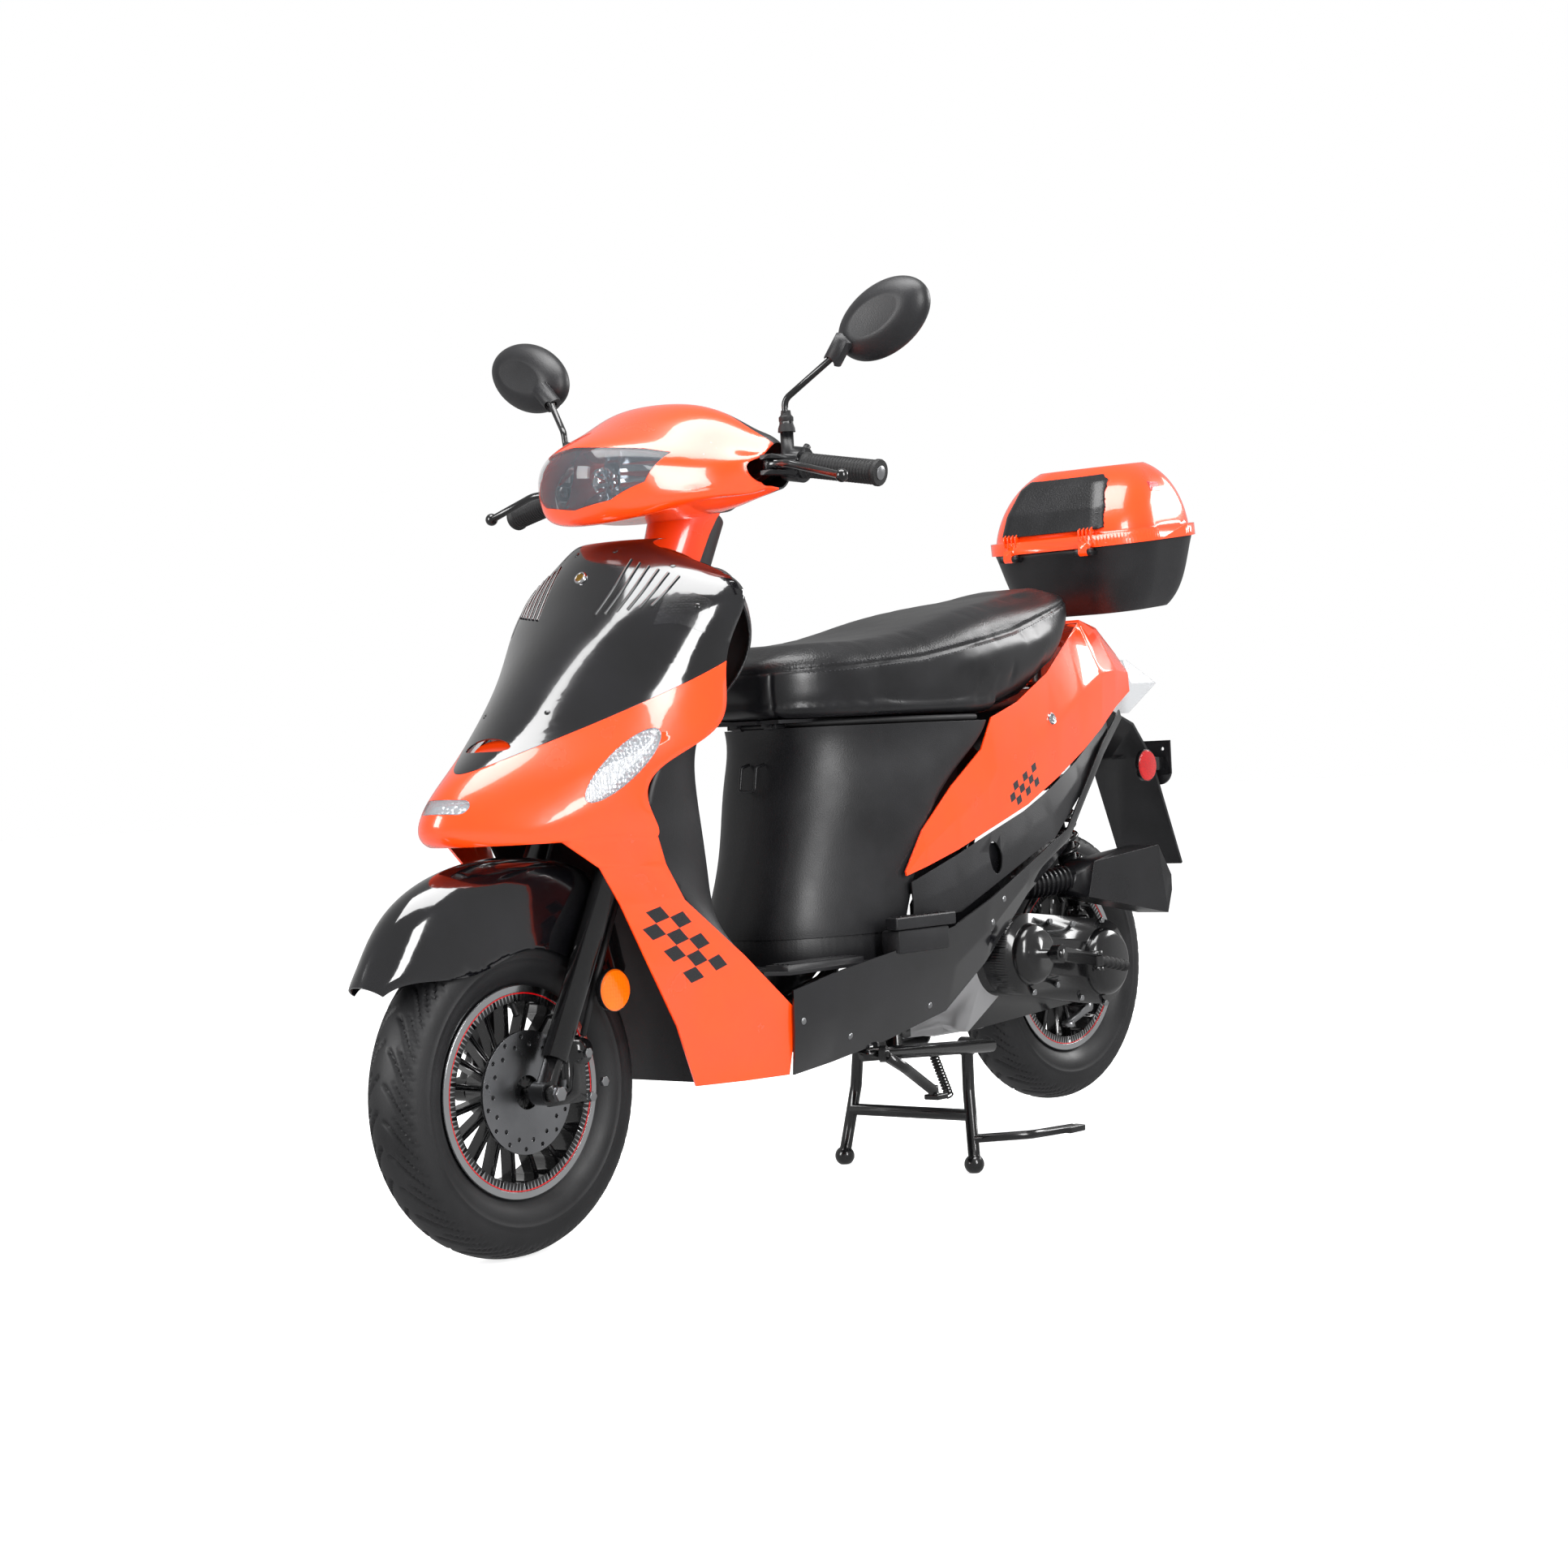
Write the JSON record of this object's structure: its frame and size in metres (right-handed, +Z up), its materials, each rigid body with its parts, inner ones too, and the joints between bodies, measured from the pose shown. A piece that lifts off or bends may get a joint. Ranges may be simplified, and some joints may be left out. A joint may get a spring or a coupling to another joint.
{
  "type": "moped scooter",
  "caption": "Step-through moped scooter on its centre stand: leg shield, flat floor, bench seat, swing engine, small spoked wheels, folding mirrors and a lidded top case.",
  "frame": {"origin": "on the ground, under the middle of the scooter", "axes": "+Z up, -Y the way the scooter faces, +X the rider's left"},
  "size_m": [0.816, 1.7923, 1.264],
  "materials": {
    "orange_plastic": "gloss",
    "black_gloss_plastic": "gloss",
    "black_grained_plastic": "satin grain",
    "clear_lens": "clear",
    "red_lens": "translucent red",
    "black_steel": "gloss black paint",
    "bare_steel": "brushed",
    "cast_aluminium": "as cast",
    "black_aluminium": "gloss black",
    "rubber": "matt",
    "tyre": "matt",
    "vinyl": "grained vinyl"
  },
  "bodies": {
    "chassis": {"frame": "black_steel", "front_shield": "orange_plastic", "centre_panel": "black_gloss_plastic", "inner_leg_shield": "black_grained_plastic", "floorboard": "black_grained_plastic", "side_skirts": "black_gloss_plastic", "seat_post_cover": "black_grained_plastic", "side_panels": "orange_plastic", "tail_light": "clear_lens", "rear_mudguard": "black_grained_plastic", "rear_rack": "black_steel", "case_base": "black_grained_plastic", "front_lamps": "clear_lens", "helmet_box": "black_grained_plastic", "fuel_tank": "black_grained_plastic"},
    "steering": {"fork_yoke": "black_steel", "handlebar": "black_steel", "cowl_front": "orange_plastic", "cowl_rear": "black_grained_plastic", "headlight": "clear_lens", "front_fender": "black_gloss_plastic", "left_grip": "rubber", "switch_boxes": "black_grained_plastic", "brake_hose": "rubber"},
    "fork_lower": {"fork_sliders": "bare_steel", "brake_caliper": "cast_aluminium"},
    "front_wheel": {"front_rim": "black_aluminium", "front_tyre": "tyre", "brake_disc": "bare_steel"},
    "lever_left": {"brake_lever_left": "black_aluminium"},
    "lever_right": {"brake_lever_right": "black_aluminium"},
    "throttle": {"throttle_grip": "rubber"},
    "stem_left": {"mirror_stem_left": "black_steel"},
    "stem_right": {"mirror_stem_right": "black_steel"},
    "mirror_left": {"mirror_head_left": "black_grained_plastic"},
    "mirror_right": {"mirror_head_right": "black_grained_plastic"},
    "turn_switch": {"turn_signal_switch": "black_grained_plastic"},
    "horn": {"horn_button": "black_grained_plastic"},
    "lights": {"light_switch": "black_grained_plastic"},
    "starter": {"starter_button": "red_lens"},
    "key": {"ignition_key": "bare_steel"},
    "swing_unit": {"engine_case": "cast_aluminium", "cvt_cover": "black_aluminium", "air_box": "black_grained_plastic", "exhaust": "black_steel"},
    "rear_wheel": {"rear_rim": "black_aluminium", "rear_tyre": "tyre"},
    "kick": {"kick_lever": "black_steel"},
    "pedal": {"kick_pedal": "rubber"},
    "drum_arm": {"rear_brake_arm": "bare_steel"},
    "shock_top": {"shock_upper": "black_steel", "shock_spring": "bare_steel"},
    "shock_bottom": {"shock_lower": "black_steel"},
    "stand": {"centre_stand": "black_steel", "stand_spring": "bare_steel"},
    "prop": {"side_stand": "black_steel"},
    "seat": {"seat_pan": "black_grained_plastic", "seat_cushion": "vinyl"},
    "lid": {"case_lid": "orange_plastic"},
    "latch": {"case_latch": "red_lens"}
  },
  "joints": [
    {"name": "steering_turn", "type": "hinge", "parent": "chassis", "child": "steering", "pos_m": [0, -0.62327, 0.20238], "axis": [0, 0.454, 0.891], "range_deg": [-38, 38]},
    {"name": "fork_travel", "type": "slide", "parent": "steering", "child": "fork_lower", "axis": [0, 0.454, 0.891], "range_m": [-0.03, 0.024], "stiffness_N_per_m": 16000, "springref_m": -0.0135, "deforming": ["brake_hose"]},
    {"name": "front_wheel_spin", "type": "hinge", "parent": "fork_lower", "child": "front_wheel", "pos_m": [0, -0.65, 0.216], "axis": [1, 0, 0], "continuous": true},
    {"name": "front_brake_lever", "type": "hinge", "parent": "steering", "child": "lever_right", "pos_m": [-0.198, -0.291, 1.025], "axis": [0, 0, -1], "range_deg": [0, 14], "stiffness_Nm_per_rad": 2, "springref_deg": -8.59},
    {"name": "rear_brake_lever", "type": "hinge", "parent": "steering", "child": "lever_left", "pos_m": [0.198, -0.291, 1.025], "axis": [0, 0, 1], "range_deg": [0, 14], "stiffness_Nm_per_rad": 2, "springref_deg": -8.59},
    {"name": "throttle_twist", "type": "hinge", "parent": "steering", "child": "throttle", "pos_m": [-0.282, -0.24278, 1.0128], "axis": [-0.9791, 0.096, -0.1792], "range_deg": [0, 75], "stiffness_Nm_per_rad": 0.3, "springref_deg": -17.19},
    {"name": "mirror_left_swivel", "type": "hinge", "parent": "steering", "child": "stem_left", "pos_m": [0.206, -0.262, 1.068], "axis": [0, 0, 1], "range_deg": [-30, 30]},
    {"name": "mirror_left_tilt", "type": "hinge", "parent": "stem_left", "child": "mirror_left", "pos_m": [0.268, -0.23, 1.166], "axis": [1, 0, 0], "range_deg": [-9, 9]},
    {"name": "mirror_right_swivel", "type": "hinge", "parent": "steering", "child": "stem_right", "pos_m": [-0.206, -0.262, 1.068], "axis": [0, 0, 1], "range_deg": [-30, 30]},
    {"name": "mirror_right_tilt", "type": "hinge", "parent": "stem_right", "child": "mirror_right", "pos_m": [-0.268, -0.23, 1.166], "axis": [1, 0, 0], "range_deg": [-9, 9]},
    {"name": "turn_switch_press", "type": "slide", "parent": "steering", "child": "turn_switch", "axis": [0, -0.7071, -0.7071], "range_m": [0, 0.0025], "stiffness_N_per_m": 400, "springref_m": -0.002},
    {"name": "lights_press", "type": "slide", "parent": "steering", "child": "lights", "axis": [0, -0.7071, -0.7071], "range_m": [0, 0.0025], "stiffness_N_per_m": 400, "springref_m": -0.002},
    {"name": "horn_press", "type": "slide", "parent": "steering", "child": "horn", "axis": [0, -1, 0], "range_m": [0, 0.003], "stiffness_N_per_m": 400, "springref_m": -0.002},
    {"name": "starter_press", "type": "slide", "parent": "steering", "child": "starter", "axis": [0, -1, 0], "range_m": [0, 0.003], "stiffness_N_per_m": 400, "springref_m": -0.002},
    {"name": "key_turn", "type": "hinge", "parent": "chassis", "child": "key", "pos_m": [0.052, -0.25, 0.86], "axis": [0, 1, 0], "range_deg": [0, 90]},
    {"name": "swing", "type": "hinge", "parent": "chassis", "child": "swing_unit", "pos_m": [0, 0.1, 0.222], "axis": [1, 0, 0], "range_deg": [0, 5.5], "stiffness_Nm_per_rad": 4200, "springref_deg": -1.72},
    {"name": "rear_wheel_spin", "type": "hinge", "parent": "swing_unit", "child": "rear_wheel", "pos_m": [0, 0.582, 0.277], "axis": [1, 0, 0], "continuous": true},
    {"name": "kick_start", "type": "hinge", "parent": "swing_unit", "child": "kick", "pos_m": [0.196, 0.328, 0.315], "axis": [-1, 0, 0], "range_deg": [0, 60], "stiffness_Nm_per_rad": 1.5, "springref_deg": -34.38},
    {"name": "pedal_fold", "type": "hinge", "parent": "kick", "child": "pedal", "pos_m": [0.196, 0.43104, 0.297], "axis": [0, 0.0738, -0.9973], "range_deg": [0, 90]},
    {"name": "drum_arm_pull", "type": "hinge", "parent": "swing_unit", "child": "drum_arm", "pos_m": [0.096, 0.545, 0.214], "axis": [-1, 0, 0], "range_deg": [0, 12], "stiffness_Nm_per_rad": 2, "springref_deg": -5.73},
    {"name": "shock_swivel", "type": "hinge", "parent": "chassis", "child": "shock_top", "pos_m": [0.076, 0.5, 0.6], "axis": [1, 0, 0], "range_deg": [-1.5, 0]},
    {"name": "shock_stroke", "type": "slide", "parent": "shock_top", "child": "shock_bottom", "axis": [0, -0.2352, 0.972], "range_m": [0, 0.056], "deforming": ["shock_spring"]},
    {"name": "centre_stand_fold", "type": "hinge", "parent": "chassis", "child": "stand", "pos_m": [0, 0.211, 0.186], "axis": [1, 0, 0], "range_deg": [0, 75], "deforming": ["stand_spring"]},
    {"name": "side_stand_drop", "type": "hinge", "parent": "chassis", "child": "prop", "pos_m": [0.14762, -0.04405, 0.203], "axis": [-0.8918, -0.4525, 0], "range_deg": [0, 80], "stiffness_Nm_per_rad": 1, "springref_deg": -68.75},
    {"name": "seat_open", "type": "hinge", "parent": "chassis", "child": "seat", "pos_m": [0, -0.12, 0.676], "axis": [1, 0, 0], "range_deg": [0, 55]},
    {"name": "lid_open", "type": "hinge", "parent": "chassis", "child": "lid", "pos_m": [0, 0.627, 0.936], "axis": [1, 0, 0], "range_deg": [0, 75]},
    {"name": "latch_open", "type": "hinge", "parent": "chassis", "child": "latch", "pos_m": [0, 0.8928, 0.956], "axis": [-1, 0, 0], "range_deg": [0, 60], "stiffness_Nm_per_rad": 0.2, "springref_deg": -17.19}
  ],
  "couplings": [
    {"joint": "drum_arm_pull", "follows": "rear_brake_lever", "ratio": 0.8},
    {"joint": "shock_swivel", "follows": "swing", "ratio": -0.19},
    {"joint": "shock_stroke", "follows": "swing", "m_per_rad": 0.475}
  ]
}
